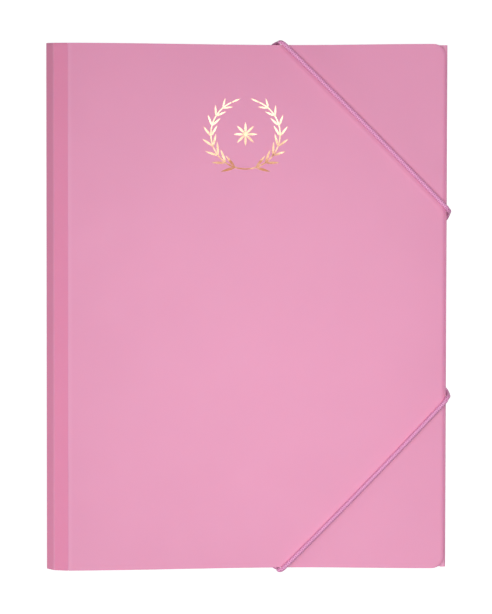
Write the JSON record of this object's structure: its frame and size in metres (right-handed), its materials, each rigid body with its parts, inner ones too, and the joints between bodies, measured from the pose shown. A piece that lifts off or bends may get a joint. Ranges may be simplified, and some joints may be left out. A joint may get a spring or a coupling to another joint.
{
  "type": "elastic folder",
  "caption": "Three-flap document folder of creased plastic sheet, closed by elastics over the corners of its mouth.",
  "frame": {"origin": "middle of the back cover's outer face, midway between the back crease and the side flap's fold", "axes": "+X from the spine to the mouth, +Y along the spine towards the upper end, +Z out of the front cover"},
  "size_m": [0.2462, 0.3236, 0.0146],
  "materials": {
    "sheet": "satin polypropylene sheet",
    "cord": "braided textile cover over a rubber core",
    "foil": "hot-stamped pale gold foil",
    "clip": "pressed steel"
  },
  "bodies": {
    "back": {"back_panel": "sheet", "upper_elastic": "cord", "lower_elastic": "cord", "upper_end_clip": "clip", "upper_side_clip": "clip", "lower_end_clip": "clip", "lower_side_clip": "clip"},
    "spine": {"spine_panel": "sheet"},
    "front": {"front_cover": "sheet", "foil_wreath": "foil", "foil_blossom": "foil"}
  },
  "joints": [
    {"name": "spine_fold", "type": "hinge", "parent": "back", "child": "spine", "pos_m": [-0.12175, 0, 0], "axis": [0, -1, 0], "range_deg": [0, 118.9], "deforming": ["upper_elastic", "lower_elastic"]},
    {"name": "cover_fold", "type": "hinge", "parent": "spine", "child": "front", "pos_m": [-0.10875, 0, 0.01094], "axis": [0, -1, 0], "range_deg": [0, 62.9], "deforming": ["upper_elastic", "lower_elastic"]}
  ]
}
